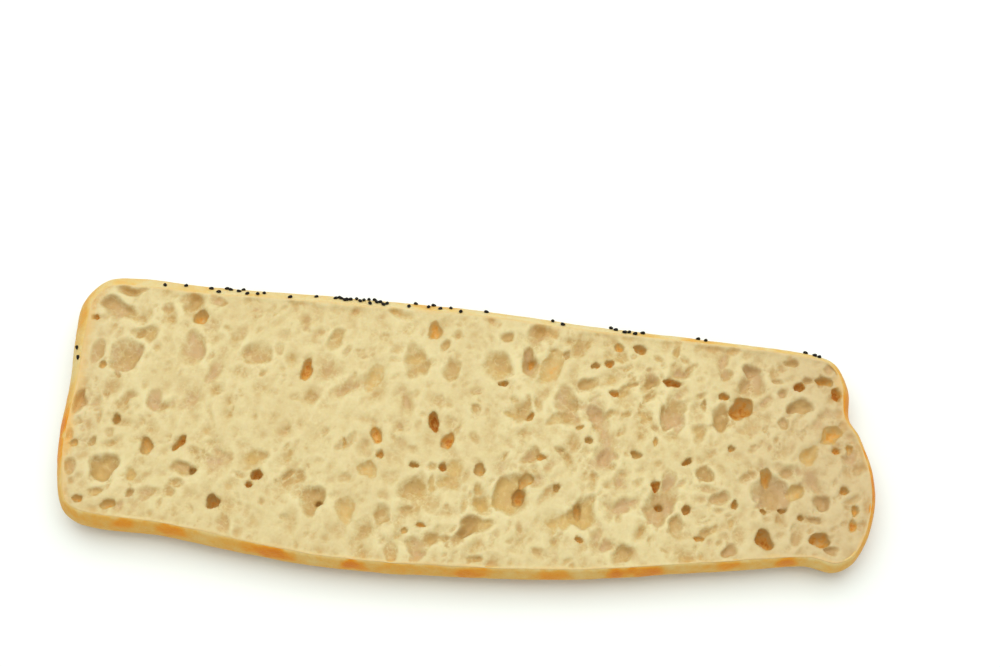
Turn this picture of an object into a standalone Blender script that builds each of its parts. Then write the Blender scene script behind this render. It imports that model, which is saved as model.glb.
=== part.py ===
"""The lower half of a long flatbread that was split level with a knife, lying on its base, cut face up.

The loaf is a slab of baked dough, flat underneath where it sat on the oven floor, round at the sides, and
browned all over. The knife ran a little uphill from the near edge to the far one, so the far edge and the left
end keep a strip of the crown, with the black seeds that were scattered over it. The cut face is open crumb,
full of bubbles.

The frame: +X along the loaf to its right end, +Y to the far edge, +Z up, origin under the middle of the loaf.
Lengths are in millimetres, and each mesh is brought to metres as it is made.
"""

import math
import random

import bmesh
import bpy
import numpy as np
from mathutils import Matrix, Vector

MM = 0.001

# The widest outline of the loaf seen from above, side by side, anticlockwise from its near left corner.
NEAR_EDGE = [
    (-178, -63), (-135, -64.5), (-95, -69), (-55, -71.5), (-5, -70), (60, -65), (110, -57), (150, -50),
]
RIGHT_END = [(171, -47), (184, -48.5), (193.5, -43), (200, -30), (203, -12), (201, 5), (195.5, 20), (190, 29)]
FAR_EDGE = [(189, 45), (182, 58), (168, 62.5), (127, 64.5), (60, 66.5), (0, 69.2), (-70, 69.2), (-140, 68)]
LEFT_END = [
    (-172, 69), (-191, 66), (-201.5, 52), (-202, 35), (-199.5, 8), (-198.5, -22), (-195, -44), (-189, -57.5),
]
OUTLINE_STEPS = 132

# The side of the loaf: a round foot up to the widest line, and above it the start of the crown.
WIDEST_HEIGHT = 12.0
FOOT_INSET = 11.0
CROWN_REACH = 30.0
CROWN_RISE = 22.0
FOOT_RINGS = 4
CROWN_RINGS = 3

# The knife's cut: its height in the middle of the loaf, and its rise to the far edge and to the left end.
CUT_HEIGHT = 23.5
CUT_RISE_FAR = 3.0
CUT_RISE_LEFT = 2.0
HALF_LENGTH = 203.0
HALF_WIDTH = 70.0

# The larger bubbles that the knife opened: x and y of the middle, long and short half-width of the mouth,
# the turn of its long way from +X in degrees, and the depth.
BUBBLES = [
    (-176, 58, 9, 4.5, 0, 3), (-181, 47, 9, 5, -15, 4), (-164, 36, 7, 5, 20, 3), (-172, 23, 10, 8.5, 60, 5),
    (-139, 30, 10, 6.5, 95, 4), (-107, 31, 8, 6.5, 20, 3.5), (-172, -35, 8, 7, 20, 5),
    (-133, -32, 6, 4.5, 10, 3), (-70, 41, 7, 3.5, 60, 3), (-37, 59, 6.5, 3.5, -5, 3), (-27, 36, 11, 6, 105, 5),
    (-9, 33, 6.5, 4.5, 115, 4), (-17, -31, 10, 9, 0, 4), (-69, -40, 8.5, 6, 80, 6),
    (-34, -45, 5.2, 4.2, 100, 4), (-15, -58, 6, 4.5, 0, 3), (13, 38, 10, 8, 110, 4), (29, 41, 9, 4.5, 95, 4),
    (50, 21, 12, 6.5, 100, 4), (60, 34, 5.5, 4, 0, 4), (26, 15, 7, 6, 0, 3), (102, 22, 9, 5.5, 85, 4),
    (27, -28, 11.5, 9, 80, 6), (62, -33, 8, 6.5, 90, 4.5), (10, -45, 8.5, 5.5, 10, 4),
    (99, -25, 12.5, 7.5, 80, 5), (82, -51, 5.5, 4, 20, 3), (126, 21, 7, 4.5, 95, 4), (164, 31, 7, 3.6, 5, 4),
    (151, -14, 12.5, 8.5, 105, 5), (175, -16, 5.5, 5, 0, 4), (118, -8, 5.5, 3.5, 5, 3),
    (107, -35, 6.5, 4, 95, 3), (126, -19, 6, 4.5, 30, 3), (138, 48, 5, 3.5, 0, 3), (134, -44, 5, 3, 50, 3),
    (-138, 47.5, 4.2, 3.8, 0, 8), (-153, -22, 4.6, 3, 95, 8), (-137, -19, 4.6, 2, 65, 8),
    (-166, -53, 4, 2.3, 25, 6), (-116, -46.5, 3.6, 3.3, 0, 11), (-97, -31, 2.9, 2.6, 0, 12),
    (-20, 54, 6.5, 3.6, 95, 7), (-47, 24.5, 8, 4.2, 70, 8), (-81, 25, 6, 2.8, 80, 9),
    (-15, 5, 4.8, 2.6, 110, 11), (-7, -4, 4.6, 2.8, 65, 7), (-42, -5, 4.5, 2.6, 120, 6),
    (-44, -22.5, 4.8, 4.4, 0, 7), (-52, -43.5, 7, 4.7, 100, 8), (40, 40, 9.5, 5.6, 80, 9),
    (83, 53.5, 3.5, 2.2, -10, 7), (100, 37.5, 4.6, 2, -5, 9), (10, -17, 3.3, 2.8, 90, 7),
    (33, -19, 4, 2.6, 0, 7), (135, 28, 6.4, 5.5, 60, 12), (163, 42, 3, 2.2, 20, 9),
    (175, 46.5, 4.5, 2.2, 10, 7), (181, 40, 3.4, 2.2, 100, 8), (180, 19.5, 5, 4.4, 40, 9),
    (169, 7, 5.6, 4.2, 60, 8), (163, -12, 4.7, 3.9, 60, 8), (149, -37, 5.3, 3.9, 110, 12),
    (175.5, -34.5, 5, 3.7, 10, 11),
]
# A bubble has more sides when its mean half-width is over this. Its form stands this far out of the cut.
WIDE_BUBBLE = 5.0
WIDE_BUBBLE_SIDES = 14
SMALL_BUBBLE_SIDES = 10
BUBBLE_RINGS = 3
BUBBLE_PROUD = 0.2

# The black seeds, scattered in clusters along the strip of crown. Each cluster is the place of its middle along
# the edge, half its spread, and how many seeds it has. A seed may lie this far down the crown, from the cut
# edge at 0 to the widest line at 1, and is pressed into the crust by this share of its thickness.
SEED_LENGTH = 2.4
SEED_WIDTH = 1.5
SEED_SINK = 0.4
SEED_SIDES = 6
SEED_RINGS = 3
FAR_EDGE_SEEDS = [
    (-150, 13, 2), (-122, 14, 9), (-88, 8, 2), (-64, 10, 11), (-49, 5, 5), (-22, 17, 7), (5, 1, 1),
    (40, 5, 2), (76, 11, 6), (113, 9, 2), (171, 5, 3),
]
LEFT_END_SEEDS = [(20, 5, 2)]
SEED_STRIP = (0.03, 0.38)
SEED_OUTLINE_STEPS = 1320
SEED_DRAW = 7

CRUMB_COLOUR = (0.83, 0.69, 0.40, 1.0)
CRUMB_ROUGHNESS = 0.6
SHARP_EDGE_DEGREES = 35


def smooth_closed_curve(points, steps):
    """A closed curve through the points: each span is a cubic whose end slopes follow the points beside it."""
    points = np.array(points, float)
    before, after, further = (np.roll(points, shift, axis=0) for shift in (1, -1, -2))
    span_length = np.linalg.norm(after - points, axis=1)
    start_slope = (after - before) / (span_length + np.roll(span_length, 1))[:, None]
    end_slope = (further - points) / (span_length + np.roll(span_length, -1))[:, None]
    reach = np.concatenate([[0.0], np.cumsum(span_length)])
    place = np.linspace(0.0, reach[-1], steps, endpoint=False)
    span = np.searchsorted(reach, place, side="right") - 1
    t = ((place - reach[span]) / span_length[span])[:, None]
    size = span_length[span][:, None]
    return (
        (2 * t**3 - 3 * t**2 + 1) * points[span]
        + (t**3 - 2 * t**2 + t) * size * start_slope[span]
        + (3 * t**2 - 2 * t**3) * after[span]
        + (t**3 - t**2) * size * end_slope[span]
    )


def widest_outline(steps):
    """The loaf's widest outline, centred on the origin."""
    curve = smooth_closed_curve(NEAR_EDGE + RIGHT_END + FAR_EDGE + LEFT_END, steps)
    return curve - (curve.min(axis=0) + curve.max(axis=0)) / 2


def outward(curve):
    """The outward direction at each point of an anticlockwise closed curve."""
    along = np.roll(curve, -1, axis=0) - np.roll(curve, 1, axis=0)
    side = np.stack([along[:, 1], -along[:, 0]], axis=1)
    return side / np.linalg.norm(side, axis=1)[:, None]


def cut_height(x, y):
    """Height of the knife's cut, a plane that rises to the far edge and to the left end."""
    return CUT_HEIGHT + CUT_RISE_FAR * y / HALF_WIDTH - CUT_RISE_LEFT * x / HALF_LENGTH


def side_inset(height):
    """How far the crust stands in from the widest line: a quarter of an ellipse below it, and another above."""
    foot = np.clip((WIDEST_HEIGHT - height) / WIDEST_HEIGHT, 0, 1)
    crown = np.clip((height - WIDEST_HEIGHT) / CROWN_RISE, 0, 1)
    return FOOT_INSET * (1 - np.sqrt(1 - foot**2)) + CROWN_REACH * (1 - np.sqrt(1 - crown**2))


def cut_edge(curve):
    """Where the crust meets the cut, found by trying the height again at the place that it gives."""
    edge = curve
    for _ in range(6):
        height = cut_height(edge[:, 0], edge[:, 1])
        edge = curve - outward(curve) * side_inset(height)[:, None]
    return edge, cut_height(edge[:, 0], edge[:, 1])


def make_object(name, form, material=None):
    """An object from a bmesh in millimetres, brought to metres."""
    bmesh.ops.recalc_face_normals(form, faces=form.faces)
    bmesh.ops.scale(form, vec=Vector((MM, MM, MM)), verts=form.verts)
    mesh = bpy.data.meshes.new(name)
    form.to_mesh(mesh)
    form.free()
    if material is not None:
        mesh.materials.append(material)
    made = bpy.data.objects.new(name, mesh)
    bpy.context.scene.collection.objects.link(made)
    return made


def join_loops(form, loops):
    """A band of faces between each loop of points and the next."""
    for lower, upper in zip(loops, loops[1:]):
        for i in range(len(lower)):
            j = (i + 1) % len(lower)
            form.faces.new((lower[i], lower[j], upper[j], upper[i]))


def loaf_body():
    """The half loaf before its bubbles: rings up the foot and the crown, a flat base and a flat cut face."""
    curve = widest_outline(OUTLINE_STEPS)
    side = outward(curve)
    edge, edge_height = cut_edge(curve)
    rings = []
    for step in range(FOOT_RINGS + 1):
        height = WIDEST_HEIGHT * (1 - math.cos(0.5 * math.pi * step / FOOT_RINGS))
        rings.append((curve - side * side_inset(height), np.full(len(curve), height)))
    for step in range(1, CROWN_RINGS):
        height = WIDEST_HEIGHT + (edge_height - WIDEST_HEIGHT) * step / CROWN_RINGS
        rings.append((curve - side * side_inset(height)[:, None], height))
    rings.append((edge, edge_height))
    form = bmesh.new()
    loops = [[form.verts.new((x, y, z)) for (x, y), z in zip(points, heights)] for points, heights in rings]
    join_loops(form, loops)
    form.faces.new(loops[0])
    form.faces.new(loops[-1])
    return form


def bubble(x, y, long_half, short_half, turn, depth):
    """The lower part of an ellipsoid, which the cut opens with the given mouth and depth.

    With a the angle from its lowest point up to its mouth, tan(a / 2) is depth over mean half-width. So a
    shallow cup is the tip of a large ellipsoid, and a deep hole is most of a small one, wider below its mouth.
    """
    mean_half = math.sqrt(long_half * short_half)
    mouth = 2 * math.atan(depth / mean_half)
    half_height = depth / (1 - math.cos(mouth))
    top = math.acos(1 - (depth + BUBBLE_PROUD) / half_height)
    sides = WIDE_BUBBLE_SIDES if mean_half > WIDE_BUBBLE else SMALL_BUBBLE_SIDES
    ways = [2 * math.pi * side / sides for side in range(sides)]
    form = bmesh.new()
    loops = []
    for angle in [mouth * ring / BUBBLE_RINGS for ring in range(1, BUBBLE_RINGS)] + [top]:
        reach = math.sin(angle) / math.sin(mouth)
        z = half_height * (1 - math.cos(angle)) - depth
        loops.append([
            form.verts.new((long_half * reach * math.cos(way), short_half * reach * math.sin(way), z))
            for way in ways
        ])
    lowest = form.verts.new((0, 0, -depth))
    for i in range(sides):
        form.faces.new((lowest, loops[0][(i + 1) % sides], loops[0][i]))
    join_loops(form, loops)
    form.faces.new(loops[-1])
    square_to_cut = Vector((CUT_RISE_LEFT / HALF_LENGTH, -CUT_RISE_FAR / HALF_WIDTH, 1))
    tilt = Vector((0, 0, 1)).rotation_difference(square_to_cut).to_matrix().to_4x4()
    spin = Matrix.Rotation(math.radians(turn), 4, "Z")
    place = Matrix.Translation((x, y, cut_height(x, y)))
    bmesh.ops.transform(form, matrix=place @ tilt @ spin, verts=form.verts)
    return form


def crown_point(widest, side, edge_height, down):
    """A point on the crown, a share of the way down from the cut edge to the widest line."""
    height = edge_height + (WIDEST_HEIGHT - edge_height) * down
    x, y = widest - side * side_inset(height)
    return Vector((x, y, height))


def seed_places():
    """Each seed's point on the crown, the way out of the crust there, and its turn. The draws start fixed."""
    draw = random.Random(SEED_DRAW)
    curve = widest_outline(SEED_OUTLINE_STEPS)
    side = outward(curve)
    edge_height = cut_edge(curve)[1]
    places = []
    for clusters, axis, in_reach in (
        (FAR_EDGE_SEEDS, 0, curve[:, 1] > 0),
        (LEFT_END_SEEDS, 1, curve[:, 0] < 0),
    ):
        for middle, spread, count in clusters:
            for number in range(count):
                goal = middle + spread * (2 * (number + draw.random()) / count - 1)
                along = int(np.argmin(np.where(in_reach, np.abs(curve[:, axis] - goal), np.inf)))
                down = draw.uniform(*SEED_STRIP)
                here = (curve[along], side[along], edge_height[along])
                spot = crown_point(*here, down)
                down_crown = crown_point(*here, down + 0.05) - spot
                along_edge = Vector((-side[along][1], side[along][0], 0.0))
                places.append((spot, down_crown.cross(along_edge).normalized(), draw.uniform(0, math.pi)))
    return places


def seed(place, out, turn):
    """One seed lying on the crust: a ball drawn out along its length, and pressed in."""
    form = bmesh.new()
    bmesh.ops.create_uvsphere(form, u_segments=SEED_SIDES, v_segments=SEED_RINGS, radius=0.5)
    size = Matrix.Diagonal((SEED_WIDTH, SEED_WIDTH, SEED_LENGTH, 1.0))
    lying = Matrix.Rotation(0.5 * math.pi, 4, "Y")
    facing = out.to_track_quat("Z", "Y").to_matrix().to_4x4() @ Matrix.Rotation(turn, 4, "Z")
    raised = Matrix.Translation(place + out * (0.5 - SEED_SINK) * SEED_WIDTH)
    bmesh.ops.transform(form, matrix=raised @ facing @ lying @ size, verts=form.verts)
    return form


def boolean(target, operation, pieces):
    """Cuts or joins all the pieces at once, keeps the result as the target's mesh, and removes the pieces."""
    group = bpy.data.collections.new(operation.lower())
    bpy.context.scene.collection.children.link(group)
    for piece in pieces:
        bpy.context.scene.collection.objects.unlink(piece)
        group.objects.link(piece)
    step = target.modifiers.new(operation.lower(), "BOOLEAN")
    step.operation = operation
    step.operand_type = "COLLECTION"
    step.collection = group
    step.solver = "EXACT"
    bpy.context.view_layer.update()
    result = bpy.data.meshes.new_from_object(target.evaluated_get(bpy.context.evaluated_depsgraph_get()))
    target.modifiers.clear()
    target.data = result
    for piece in pieces:
        bpy.data.objects.remove(piece)
    bpy.data.collections.remove(group)


def crumb_material():
    """Pale, slightly damp crumb."""
    material = bpy.data.materials.new("crumb")
    material.use_nodes = True
    shader = material.node_tree.nodes["Principled BSDF"]
    shader.inputs["Base Color"].default_value = CRUMB_COLOUR
    shader.inputs["Roughness"].default_value = CRUMB_ROUGHNESS
    shader.inputs["Metallic"].default_value = 0.0
    return material


def main():
    for old in list(bpy.data.objects):
        bpy.data.objects.remove(old)
    loaf = make_object("flatbread_half", loaf_body(), crumb_material())
    boolean(loaf, "DIFFERENCE", [make_object("bubble", bubble(*sizes)) for sizes in BUBBLES])
    boolean(loaf, "UNION", [make_object("seed", seed(*place)) for place in seed_places()])
    loaf.data.shade_smooth()
    loaf.data.set_sharp_from_angle(angle=math.radians(SHARP_EDGE_DEGREES))


main()
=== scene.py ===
"""The looks of one half of a long flatbread, split level and lying cut face up: crust, open crumb and seeds.

Lengths are in millimetres, in the frame of the part: +X along the loaf to its right end, +Y to the far edge
with the seeds, +Z up out of the cut face. Each mesh is brought to metres as it is made.
"""

import itertools
import math
import random

import bpy
import numpy as np
from mathutils import Matrix, Vector


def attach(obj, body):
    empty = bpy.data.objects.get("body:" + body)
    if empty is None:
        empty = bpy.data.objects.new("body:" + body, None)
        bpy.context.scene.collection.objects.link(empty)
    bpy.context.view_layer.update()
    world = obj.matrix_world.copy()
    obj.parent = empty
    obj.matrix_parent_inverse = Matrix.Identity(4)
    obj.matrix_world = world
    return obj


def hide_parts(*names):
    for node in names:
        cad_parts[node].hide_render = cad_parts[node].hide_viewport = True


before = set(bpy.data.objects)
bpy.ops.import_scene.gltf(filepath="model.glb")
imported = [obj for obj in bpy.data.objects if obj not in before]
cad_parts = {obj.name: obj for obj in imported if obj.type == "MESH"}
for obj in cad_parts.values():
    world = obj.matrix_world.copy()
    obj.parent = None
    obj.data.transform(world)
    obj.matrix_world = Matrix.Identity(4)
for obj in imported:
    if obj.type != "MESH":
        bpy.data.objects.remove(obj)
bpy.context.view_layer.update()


# The crust is the baked skin of the loaf: a flat base, round sides, and at the far edge and the left end a
# strip of the crown that the knife left on. It is one closed shell like a shallow tray, golden where the
# dough faced the heat, blotched orange brown where it rose, and cream at the rim where the knife cut it.

MM = 0.001

# The widest outline of the loaf seen from above, side by side, anticlockwise from its near left corner.
NEAR_EDGE = [
    (-178, -63), (-135, -64.5), (-95, -69), (-55, -71.5), (-5, -70), (60, -65), (110, -57), (150, -50),
]
RIGHT_END = [(171, -47), (184, -48.5), (193.5, -43), (200, -30), (203, -12), (201, 5), (195.5, 20), (190, 29)]
FAR_EDGE = [(189, 45), (182, 58), (168, 62.5), (127, 64.5), (60, 66.5), (0, 69.2), (-70, 69.2), (-140, 68)]
LEFT_END = [
    (-172, 69), (-191, 66), (-201.5, 52), (-202, 35), (-199.5, 8), (-198.5, -22), (-195, -44),
    (-189, -57.5),
]

# The side of the loaf: a round foot up to the widest line, and above it the start of the crown.
WIDEST_HEIGHT = 12.0
FOOT_INSET = 11.0
CROWN_REACH = 30.0
CROWN_RISE = 22.0

# The knife's cut: its height in the middle of the loaf, and its rise to the far edge and to the left end.
CUT_HEIGHT = 23.5
CUT_RISE_FAR = 3.0
CUT_RISE_LEFT = 2.0
HALF_LENGTH = 203.0
HALF_WIDTH = 70.0

# The rim is round, and lies a little below the cut, because the crumb beside it swells over it.
CRUST_THICKNESS = 1.7
CRUST_STEPS = 1200
RIM_ROUND = 0.8
RIM_DROP = 0.5
RIM_RINGS = 6
INNER_RINGS = 6
CROWN_RINGS = 12
FOOT_RINGS = 14
BASE_SHRINK = [0.985, 0.95, 0.88, 0.76, 0.6, 0.42, 0.22]
BASE_HOLLOW = 0.25

# The skin's broad swells and fine crinkles: how far they stand out, and the size of their patches. They fade
# out over the lowest part of the side, and come in over the last rings of the rim by these shares.
CRUST_SWELL = 0.35
SWELL_SIZE = 13
CRUST_CRINKLE = 0.1
CRINKLE_SIZE = 3.5
SWELL_FADE = 5
RIM_SWELL = [0.5, 0.8, 0.95]


def smooth_closed_curve(points, steps):
    """A closed curve through the points: each span is a cubic whose end slopes follow the points nearby."""
    points = np.array(points, float)
    before, after, further = (np.roll(points, shift, axis=0) for shift in (1, -1, -2))
    span_length = np.linalg.norm(after - points, axis=1)
    start_slope = (after - before) / (span_length + np.roll(span_length, 1))[:, None]
    end_slope = (further - points) / (span_length + np.roll(span_length, -1))[:, None]
    reach = np.concatenate([[0.0], np.cumsum(span_length)])
    place = np.linspace(0.0, reach[-1], steps, endpoint=False)
    span = np.searchsorted(reach, place, side="right") - 1
    t = ((place - reach[span]) / span_length[span])[:, None]
    size = span_length[span][:, None]
    return (
        (2 * t**3 - 3 * t**2 + 1) * points[span]
        + (t**3 - 2 * t**2 + t) * size * start_slope[span]
        + (3 * t**2 - 2 * t**3) * after[span]
        + (t**3 - t**2) * size * end_slope[span]
    )


def widest_outline(steps):
    """The loaf's widest outline, centred on the origin."""
    curve = smooth_closed_curve(NEAR_EDGE + RIGHT_END + FAR_EDGE + LEFT_END, steps)
    return curve - (curve.min(axis=0) + curve.max(axis=0)) / 2


def outward(curve):
    """The outward direction at each point of an anticlockwise closed curve: its slope turned clockwise."""
    along = np.roll(curve, -1, axis=0) - np.roll(curve, 1, axis=0)
    side = np.stack([along[:, 1], -along[:, 0]], axis=1)
    return side / np.linalg.norm(side, axis=1)[:, None]


def cut_height(x, y):
    """Height of the knife's cut, a plane that rises to the far edge and to the left end."""
    return CUT_HEIGHT + CUT_RISE_FAR * y / HALF_WIDTH - CUT_RISE_LEFT * x / HALF_LENGTH


def side_inset(height):
    """How far the crust stands in from the widest line: a quarter of an ellipse below it, another above."""
    foot = np.clip((WIDEST_HEIGHT - height) / WIDEST_HEIGHT, 0, 1)
    crown = np.clip((height - WIDEST_HEIGHT) / CROWN_RISE, 0, 1)
    return FOOT_INSET * (1 - np.sqrt(1 - foot**2)) + CROWN_REACH * (1 - np.sqrt(1 - crown**2))


def cut_edge(curve, side):
    """Where the crust meets the cut, found by trying the height again at the place that it gives."""
    edge = curve
    for _ in range(6):
        height = cut_height(edge[:, 0], edge[:, 1])
        edge = curve - side * side_inset(height)[:, None]
    return edge, cut_height(edge[:, 0], edge[:, 1])


def eased(value, start, end):
    """0 up to start, 1 from end, and 3t^2 - 2t^3 between them."""
    t = np.clip((value - start) / (end - start), 0, 1)
    return t * t * (3 - 2 * t)


def smooth_noise(points, size, draw):
    """Smooth noise from -1 to 1: values drawn at the corners of cubes that size, blended by 3t^2 - 2t^3."""
    cubes = 32
    drawn = np.random.default_rng(draw).uniform(-1, 1, (cubes, cubes, cubes))
    cell = points / size
    corner = np.floor(cell).astype(int)
    ease = cell - corner
    ease = ease * ease * (3 - 2 * ease)
    total = np.zeros(points.shape[:-1])
    for step in itertools.product((0, 1), repeat=3):
        weight = np.where(step, ease, 1 - ease).prod(axis=-1)
        i, j, k = np.moveaxis((corner + step) % cubes, -1, 0)
        total += weight * drawn[i, j, k]
    return total


def quads(rows, columns):
    """The faces of a grid of points numbered row by row."""
    number = np.arange(rows * columns).reshape(rows, columns)
    corners = [number[:-1, :-1], number[1:, :-1], number[1:, 1:], number[:-1, 1:]]
    return np.stack([corner.ravel() for corner in corners], axis=1)


def add_piece(name, points, faces, material, values):
    """A piece of the loaf from points in millimetres, with the named values that its material reads."""
    mesh = bpy.data.meshes.new(name)
    mesh.from_pydata((points * MM).tolist(), [], [face for part in faces for face in part.tolist()])
    mesh.materials.append(material)
    mesh.shade_smooth()
    for value_name, value in values.items():
        attribute = mesh.attributes.new(value_name, "FLOAT", "POINT")
        attribute.data.foreach_set("value", np.asarray(value, np.float32).ravel())
    piece = bpy.data.objects.new(name, mesh)
    bpy.context.scene.collection.objects.link(piece)
    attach(piece, "root")
    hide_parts("flatbread_half")
    return piece


class Wire:
    """One output socket in a material. Arithmetic with it adds a Math node and gives that node's wire."""

    def __init__(self, socket):
        self.socket = socket

    def math(self, operation, first, second):
        tree = self.socket.id_data
        return Finish.node(tree, "ShaderNodeMath", {"operation": operation}, {0: first, 1: second})

    def __add__(self, other):
        return self.math("ADD", self, other)

    def __sub__(self, other):
        return self.math("SUBTRACT", self, other)

    def __rsub__(self, other):
        return self.math("SUBTRACT", other, self)

    def __mul__(self, other):
        return self.math("MULTIPLY", self, other)

    __radd__ = __add__
    __rmul__ = __mul__


class Finish:
    """A material and the few kinds of node that the loaf's finishes are made of."""

    def __init__(self, name, **constants):
        self.material = bpy.data.materials.new(name)
        self.material.use_nodes = True
        self.tree = self.material.node_tree
        self.shader = self.tree.nodes["Principled BSDF"]
        for socket, value in constants.items():
            self.shader.inputs[socket.replace("_", " ")].default_value = value
        place = self.add("ShaderNodeTexCoord", {}, {}, "Object")
        self.place = self.add("ShaderNodeVectorMath", {"operation": "SCALE"}, {0: place, "Scale": 1 / MM})

    @staticmethod
    def node(tree, kind, settings, sockets, output=0):
        """Adds a node: its type, its settings, the values or wires of its sockets, and the output wanted."""
        made = tree.nodes.new(kind)
        for setting, value in settings.items():
            if setting == "stops":
                while len(made.color_ramp.elements) < len(value):
                    made.color_ramp.elements.new(0.5)
                for stop, (position, colour) in zip(made.color_ramp.elements, value):
                    stop.position = position
                    stop.color = (*colour, 1)
            else:
                setattr(made, setting, value)
        for socket, value in sockets.items():
            if isinstance(value, Wire):
                tree.links.new(value.socket, made.inputs[socket])
            else:
                made.inputs[socket].default_value = value
        return Wire(made.outputs[output])

    def add(self, kind, settings, sockets, output=0):
        return self.node(self.tree, kind, settings, sockets, output)

    def value(self, name):
        """The named value that the mesh holds at each point."""
        return self.add("ShaderNodeAttribute", {"attribute_name": name}, {}, "Fac")

    def noise(self, size, detail=2.0):
        """Soft noise from 0 to 1 whose patches are about that many millimetres across."""
        sockets = {"Vector": self.place, "Scale": 1 / size, "Detail": detail, "Roughness": 0.55}
        return self.add("ShaderNodeTexNoise", {}, sockets, "Fac")

    def step(self, wire, start, end):
        """0 up to start, 1 from end, and eased between them."""
        settings = {"interpolation_type": "SMOOTHSTEP"}
        return self.add("ShaderNodeMapRange", settings, {"Value": wire, "From Min": start, "From Max": end})

    def mix(self, first, second, share):
        """One colour passing into another by a share from 0 to 1."""
        sockets = {0: share}
        for socket, colour in ((6, first), (7, second)):
            sockets[socket] = colour if isinstance(colour, Wire) else (*colour, 1)
        return self.add("ShaderNodeMix", {"data_type": "RGBA"}, sockets, 2)

    def bump(self, height, depth, normal=None):
        """Fine relief of that depth in millimetres, on top of an earlier one if there is one."""
        sockets = {"Height": height, "Distance": depth * MM, "Strength": 1.0}
        if normal is not None:
            sockets["Normal"] = normal
        return self.add("ShaderNodeBump", {}, sockets)

    def feed(self, **wires):
        for socket, wire in wires.items():
            self.tree.links.new(wire.socket, self.shader.inputs[socket.replace("_", " ")])
        return self.material


# Blotches of stronger or weaker bake: the side of the loaf they are on, their middle along it, their middle
# down from the cut edge, half their length and half their height, and how brown they are.
BLOTCHES = {
    "near": [
        (-182, 4, 6, 4, 0.62), (-158, 4, 6, 4, 0.82), (-135, 4, 7, 4, 0.8), (-118, 5, 5, 4, 0.3),
        (-96, 4, 5, 3, 0.7), (-83, 5, 9, 4.5, 0.95), (-64, 5, 6, 5, 0.3), (-45, 5, 7, 5, 0.95),
        (-20, 5, 8, 4, 0.55), (11, 5, 9, 5, 0.9), (30, 5, 6, 5, 0.35), (49, 5, 9, 5, 0.78),
        (64, 4, 4, 4, 0.25), (80.5, 5, 8, 6.5, 1.0),
        (96, 6, 8, 5, 0.9), (112, 4, 6, 4, 0.4), (131, 3, 12, 3.5, 0.76), (148, 5, 6, 4, 0.35),
        (161, 5, 5, 4, 0.9), (176, 5, 6, 4, 0.25),
    ],
    "right": [
        (-43, 5, 5, 5, 0.55), (-25, 3, 8, 4, 0.6), (-6, 3, 9, 4, 0.95), (12, 2, 7, 4, 0.9),
        (35, 4, 8, 5, 0.8), (52, 5, 6, 5, 0.6),
    ],
    "far": [
        (-180, 1, 10, 5, 0.32), (-150, 2, 16, 4, 0.26), (-112, 0, 8, 3, 0.36), (-60, 12, 12, 5, 0.5),
        (-22, 5, 14, 4, 0.45), (30, 12, 15, 4, 0.4), (84, 1, 7, 3, 0.32), (118, 2, 22, 5, 0.45),
        (160, 4, 14, 5, 0.3),
    ],
    "left": [
        (-50, 5, 7, 4, 0.5), (-30, 3, 7, 3.5, 0.75), (-15, 3, 9, 4, 0.98), (0, 6, 6, 4, 0.55),
        (20, 4, 14, 6, 0.16), (42, 5, 6, 4, 0.55), (54, 6, 6, 4, 0.5),
    ],
}

# How the skin browns below the cut edge: from cream here to golden there, and how golden it becomes.
BROWNING = {
    "near": (-1.2, 2.0, 0.48), "right": (-2.0, 2.0, 0.65), "far": (-2.0, 10.0, 0.3),
    "left": (-3.0, 3.5, 0.45),
}

# The bake is uneven. That moves the browning up and down by so many millimetres, changes how golden it is,
# and frays the blotches, which fade out at this many of their half sizes. The base has a bake of its own.
BAKE_WANDER = 1.2
GOLD_CHANGE = 0.3
BLOTCH_REACH = 1.4
BLOTCH_FRAY = 0.8
BASE_BAKE = 0.62
BASE_CHANGE = 0.25

# Flour from the baking board stays on the skin up to this height, and fades out over so much below it. This
# low band is also painted paler and pinker, as painted light bounced up from the floor.
FLOUR_AND_BOUNCE_HEIGHT = 9
FLOUR_AND_BOUNCE_FADE = 2


def crust_rings():
    """The crust's rings from the middle of its inner floor, up its inner wall, over the rim and down its
    outer wall to the middle of its base, with the outline's outward way and the height of the cut.

    Each ring is the widest outline moved in by the side's inset at that ring's height."""
    curve = widest_outline(CRUST_STEPS)
    side = outward(curve)
    top = cut_edge(curve, side)[1]
    outer_top = top - RIM_DROP - RIM_ROUND
    rings = []

    def ring(inset, height):
        place = curve - side * np.broadcast_to(inset, top.shape)[:, None]
        rings.append(np.column_stack([place, np.broadcast_to(height, top.shape)]))

    for height in np.linspace(0, 1, INNER_RINGS):
        inner = CRUST_THICKNESS + (outer_top - CRUST_THICKNESS) * height
        ring(side_inset(inner) + CRUST_THICKNESS, inner)
    for angle in np.linspace(math.pi, 0, RIM_RINGS + 2)[1:-1]:
        height = outer_top + RIM_ROUND * math.sin(angle)
        ring(side_inset(height) + CRUST_THICKNESS * (1 - math.cos(angle)) / 2, height)
    for down in np.linspace(0, 1, CROWN_RINGS):
        height = outer_top + (WIDEST_HEIGHT - outer_top) * down
        ring(side_inset(height), height)
    for angle in np.linspace(0, math.pi / 2, FOOT_RINGS + 1)[1:]:
        height = WIDEST_HEIGHT * (1 - math.sin(angle))
        ring(side_inset(height), height)
    foot = rings[-1]
    for shrink in BASE_SHRINK:
        rings.append(foot * (shrink, shrink, 0) + (0, 0, BASE_HOLLOW * eased(1 - shrink, 0, 0.3)))
    return np.array(rings), side, top


def swelling(points):
    """How far the crust stands out at each point: broad swells and fine crinkles, less half the swells."""
    swells = CRUST_SWELL * (smooth_noise(points, SWELL_SIZE, 11) - 0.5)
    return swells + CRUST_CRINKLE * smooth_noise(points, CRINKLE_SIZE, 12)


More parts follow.
